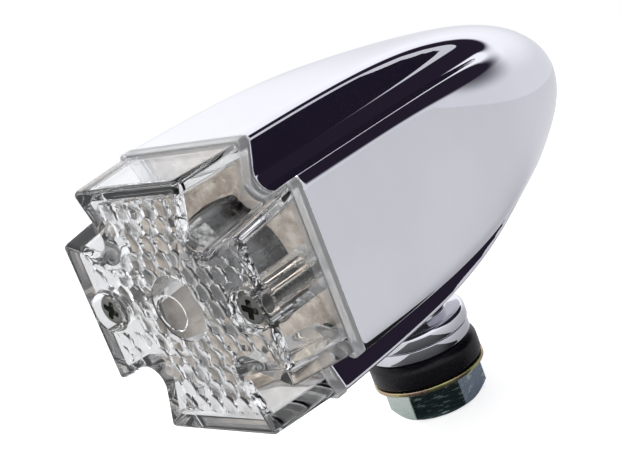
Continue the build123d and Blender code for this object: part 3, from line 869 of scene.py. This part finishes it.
def cell_points():
    """Points of every cell: its middle, two rings, and its sides with their corners."""
    points, sides = [], []
    circumradius = CELL_ACROSS / sqrt(3)
    corners = [Vector((cos(turn), sin(turn))) * circumradius
               for turn in [pi / 6 + pi / 3 * place for place in range(6)]]
    for centre in cell_centres():
        points.append(centre)
        for ring in (0.4, 0.72):
            points += [centre + corner * ring for corner in corners]
        for first, second in zip(corners, corners[1:] + corners[:1]):
            side = [centre + first.lerp(second, step / 4) for step in range(5)]
            sides.append(side)
    return points, sides


# %% [markdown]
# ## Walls of the lens
#
# The skins are joined ring by ring: the outer one from the flange to the front, the inner one
# from the rim to the front wall, and the screw holes between them.  The flat areas between
# the outlines are filled, and points that meet are merged into one shell.

# %% Lens walls


class Shell:
    """Gathers the rings and flat walls of the lens; doubled points are merged at the end."""

    def __init__(self):
        self.points = []
        self.faces = []

    def add_points(self, outline, station):
        """Points (x, z) set at one station, or each at its own."""
        stations = [station] * len(outline) if np.isscalar(station) else station
        first = len(self.points)
        self.points += [(x * MM, RIM_Y + y * MM, AXIS_Z + z * MM) for (x, z), y in zip(outline, stations)]
        return list(range(first, first + len(outline)))

    def join_rings(self, rings):
        """Side wall through rings of (outline, station)."""
        rows = [self.add_points(outline, station) for outline, station in rings]
        for low, high in zip(rows, rows[1:]):
            for a, b, c, d in zip(low, low[1:] + low[:1], high[1:] + high[:1], high):
                self.faces.append((a, b, c, d))

    def fill(self, outline, holes, station, loose=(), chains=(), height=None):
        """Flat wall inside an outline and outside its holes, with every chain an edge."""
        points, edges = [], []
        for loop in [outline] + list(holes):
            first = len(points)
            points += [Vector(point) for point in loop]
            last = len(points) - 1
            edges += [(place, place + 1) for place in range(first, last)] + [(last, first)]
        points += [Vector(point) for point in loose]
        for chain in chains:
            first = len(points)
            points += [Vector(point) for point in chain]
            edges += [(place, place + 1) for place in range(first, len(points) - 1)]
        flat, _, triangles, _, _, _ = delaunay_2d_cdt(points, edges, [], 0, 1e-4, False)
        middles = [sum((flat[corner] for corner in triangle), Vector((0, 0))) / 3 for triangle in triangles]
        keep = to_outline(middles, outline) > SLIVER
        for hole in holes:
            keep &= to_outline(middles, hole) < 0
        rise = np.zeros(len(flat)) if height is None else height(flat)
        index = self.add_points(flat, list(station + rise))
        self.faces += [tuple(index[corner] for corner in triangle)
                       for triangle, kept in zip(triangles, keep) if kept]


def lens_outside(shell):
    flange_edge = ((0, 0), (0, -1.7), (0.03, -1.95), (0.12, -2.12), (0.28, -FLANGE), (0.45, -FLANGE))
    rings = [(cross_outline(RIM_CROSS, inset), station) for inset, station in flange_edge]
    rings.append((cross_outline(BASE_CROSS), -FLANGE))
    for station in (-2.6, -6.0, -10.0, -DEPTH + FRONT_ROUND + 0.3, -DEPTH + FRONT_ROUND):
        share = (station + DEPTH) / (DEPTH - FLANGE)
        rings.append((cross_outline(blend_cross(FRONT_CROSS, BASE_CROSS, share)), station))
    for turn in (18, 36, 54, 72, 90):
        inset = FRONT_ROUND * (1 - cos(radians(turn)))
        corner = max(LENS_CORNER - inset, LEAST_CORNER)
        station = -DEPTH + FRONT_ROUND * (1 - sin(radians(turn)))
        rings.append((cross_outline(FRONT_CROSS, inset, corner), station))
    rings.append((cross_outline(FRONT_CROSS, FRONT_ROUND + FRONT_MARGIN, LEAST_CORNER), -DEPTH))
    shell.join_rings(rings)
    return rings[-1][0]


def lens_inside(shell):
    rings = []
    for station in (0.0, -4.0, -8.0, -DEPTH + FRONT_WALL + 0.3, -DEPTH + FRONT_WALL):
        share = (station + DEPTH - FRONT_WALL) / (DEPTH - FRONT_WALL + 1)
        cross = blend_cross(FRONT_CROSS, BASE_CROSS, share)
        rings.append((cross_outline(cross, LENS_WALL, 0.5, posts=True), station))
    shell.join_rings(rings)
    return rings[0][0], rings[-1][0]


def screw_holes(shell):
    """Counterbore, seat and hole on each side; gives their outlines on the front and the back."""
    fronts, backs = [], []
    for side in (-1, 1):
        seat = -DEPTH + COUNTERBORE_DEPTH
        x = side * SCREW_OFFSET
        rings = [(COUNTERBORE_RADIUS + 0.15, -DEPTH), (COUNTERBORE_RADIUS, -DEPTH + 0.15),
                 (COUNTERBORE_RADIUS, seat), (SCREW_HOLE, seat), (SCREW_HOLE, 0.0)]
        shell.join_rings([(circle(radius, 48, x), station) for radius, station in rings])
        fronts.append(circle(COUNTERBORE_RADIUS + 0.15, 48, x))
        backs.append(circle(SCREW_HOLE, 48, x))
    return fronts, backs


def make_lens():
    shell = Shell()
    front_outline = lens_outside(shell)
    rim_inner, wall_inner = lens_inside(shell)
    fronts, backs = screw_holes(shell)
    groove = [circle(DISC_RADIUS + step, 64) for step in (-0.18, 0.18)]
    shell.fill(front_outline, fronts + [groove[1]], -DEPTH)

    def groove_depth(flat):
        return np.array([GROOVE_DEPTH if abs(point.length - DISC_RADIUS) < 0.05 else 0 for point in flat])

    shell.fill(groove[1], [groove[0]], -DEPTH, loose=circle(DISC_RADIUS, 64), height=groove_depth)
    shell.fill(groove[0], [], -DEPTH)
    shell.fill(cross_outline(RIM_CROSS), backs + [rim_inner], 0.0)
    loose, sides = cell_points()
    rim = [circle(BOSS_RADIUS + step, 64) for step in (-0.06, 0.0)]

    def clear(point):
        return to_outline([point], wall_inner)[0] > 0.12 and abs(point.length - BOSS_RADIUS) > 0.16

    inner_loose = [point for point in loose if clear(point) and point.length > BOSS_RADIUS]
    inner_loose += [point * (BOSS_RADIUS * share / 6) for share in (1, 2, 3, 4, 5) for point in circle(1, 24)]
    chains = []
    for side in sides:
        kept = [point for point in side if clear(point) and point.length > BOSS_RADIUS]
        if len(kept) > 1:
            chains.append(kept)
    rings = [ring + ring[:1] for ring in rim]
    shell.fill(wall_inner, [], -DEPTH + FRONT_WALL, loose=inner_loose, chains=chains + rings,
               height=lambda flat: pillow_height([tuple(point) for point in flat], wall_inner))
    mesh = bpy.data.meshes.new("lens_shell")
    mesh.from_pydata(shell.points, [], shell.faces)
    lens = bpy.data.objects.new("lens_shell", mesh)
    bpy.context.collection.objects.link(lens)
    close_shell(lens)
    only(lens)
    bpy.ops.object.mode_set(mode="EDIT")
    bpy.ops.mesh.delete_loose(use_verts=True, use_edges=True, use_faces=False)
    bpy.ops.object.mode_set(mode="OBJECT")
    return lens


lens = make_lens()
hang(lens, "lamp", "lens", lens_clear, crease=26.0)

# %% [markdown]
# ## Lens screws
#
# A pan head with a cross recess and a coarse thread.  The thread is a zigzag of one pitch,
# wound on by the Screw modifier; its ends are closed, and it sits round a plain core.

# %% Lens screws
SCREW_PITCH = 1.05
THREAD_TURNS = 17
SEAT = -DEPTH + COUNTERBORE_DEPTH


def screw_recess(depth, station, x, turn):
    """The four-armed cutter: two rounded bars, joined."""
    bars = []
    for size in ((3.5, 1.15), (1.15, 3.5)):
        bpy.ops.object.select_all(action="DESELECT")
        bpy.ops.mesh.primitive_cube_add(size=1, location=(0, 0, 0))
        bar = bpy.context.object
        bar.scale = (size[0] * MM, 2 * depth * MM, size[1] * MM)
        place_in_mesh(bar)
        soft = bar.modifiers.new("soft", "BEVEL")
        soft.width = 0.3 * MM
        soft.segments = 2
        apply_modifier(bar, soft)
        bars.append(bar)
    only(bars[0])
    fuse = bars[0].modifiers.new("fuse", "BOOLEAN")
    fuse.operation = "UNION"
    fuse.solver = "EXACT"
    fuse.object = bars[1]
    apply_modifier(bars[0], fuse)
    bpy.data.objects.remove(bars[1])
    bars[0].rotation_euler = (0, radians(turn), 0)
    bars[0].location = AXIS_POINT + Vector((x, station, 0)) * MM
    place_in_mesh(bars[0])
    return bars[0]


def threaded_shank(name):
    """Wind one pitch of zigzag into a thread along the height, in millimetres."""
    zigzag = [(1.14, 0), (1.14, 0.36), (1.46, 0.52), (1.14, 0.70), (1.14, SCREW_PITCH)]
    mesh = bpy.data.meshes.new(name)
    mesh.from_pydata([(radius * MM, 0, height * MM) for radius, height in zigzag],
                     [(place, place + 1) for place in range(len(zigzag) - 1)], [])
    shank = bpy.data.objects.new(name, mesh)
    bpy.context.collection.objects.link(shank)
    wind = shank.modifiers.new("wind", "SCREW")
    wind.angle = 2 * pi
    wind.screw_offset = SCREW_PITCH * MM
    wind.iterations = THREAD_TURNS
    wind.steps = 32
    wind.render_steps = 32
    wind.use_merge_vertices = True
    wind.merge_threshold = MERGE
    apply_modifier(shank, wind)
    only(shank)
    bpy.ops.object.mode_set(mode="EDIT")
    bpy.ops.mesh.select_all(action="SELECT")
    bpy.ops.mesh.remove_doubles(threshold=MERGE)
    bpy.ops.mesh.select_all(action="DESELECT")
    bpy.ops.mesh.select_non_manifold()
    bpy.ops.mesh.edge_face_add()
    bpy.ops.object.mode_set(mode="OBJECT")
    close_shell(shank)
    bpy.ops.object.mode_set(mode="EDIT")
    bpy.ops.mesh.select_all(action="SELECT")
    bpy.ops.mesh.flip_normals()
    bpy.ops.object.mode_set(mode="OBJECT")
    return shank


for side, word, turn in ((-1, "left", 32), (1, "right", 12)):
    head = turned_piece(f"screw_head_{word}",
                        rounded([(0.02, -2.3), (2.7, -2.3), (2.7, 0), (1.5, 0), (1.5, 1.0), (0.02, 1.0)],
                                [0, 0.6, 0.1, 0, 0, 0]), segments=64)
    along_lamp(head, x=side * SCREW_OFFSET, station=SEAT)
    cut_away(head, screw_recess(1.25, SEAT - 2.3, side * SCREW_OFFSET, turn))
    hang(head, "lamp", "lens_screws", dark_screw)
    shank = threaded_shank(f"screw_thread_{word}")
    along_lamp(shank, x=side * SCREW_OFFSET, station=SEAT + 0.6)
    hang(shank, "lamp", "lens_screws", dark_screw, crease=25.0)

# %% [markdown]
# ## Stem
#
# Neck, rubber ring and washer are turned on the axis of the bolt, ring by ring, with the
# rounded edges that catch the light.

# %% Neck, rubber ring and washer
neck = turned_piece("neck_turned", rounded(
    [(5.05, 5.0), (9.8, 5.0), (9.8, 7.2), (9.4, 7.2), (9.4, 7.45), (10.1, 7.45), (10.1, 10.3), (6.7, 10.3),
     (6.7, 13.6), (6.2, 13.6), (6.2, 18.5), (5.05, 18.5)],
    [0, 0.25, 0.18, 0.1, 0.1, 0.2, 1.1, 0.35, 0.08, 0, 0.2, 0]))
hang(neck, "lamp", "neck_collar", chrome)
ring = turned_piece("rubber_ring_turned", rounded(
    [(5.2, 0.0), (10.4, 0.0), (10.4, 4.95), (5.2, 4.95)], [0.3, 0.8, 1.8, 0.3], steps=8))
hang(ring, "bracket_side", "rubber_ring", black_rubber)
washer = turned_piece("flat_washer_turned", rounded(
    [(5.25, -0.8), (10.5, -0.8), (10.5, 0.0), (5.25, 0.0)], [0.1, 0.15, 0.15, 0.1], steps=3))
hang(washer, "bracket_side", "flat_washer", zinc_yellow)
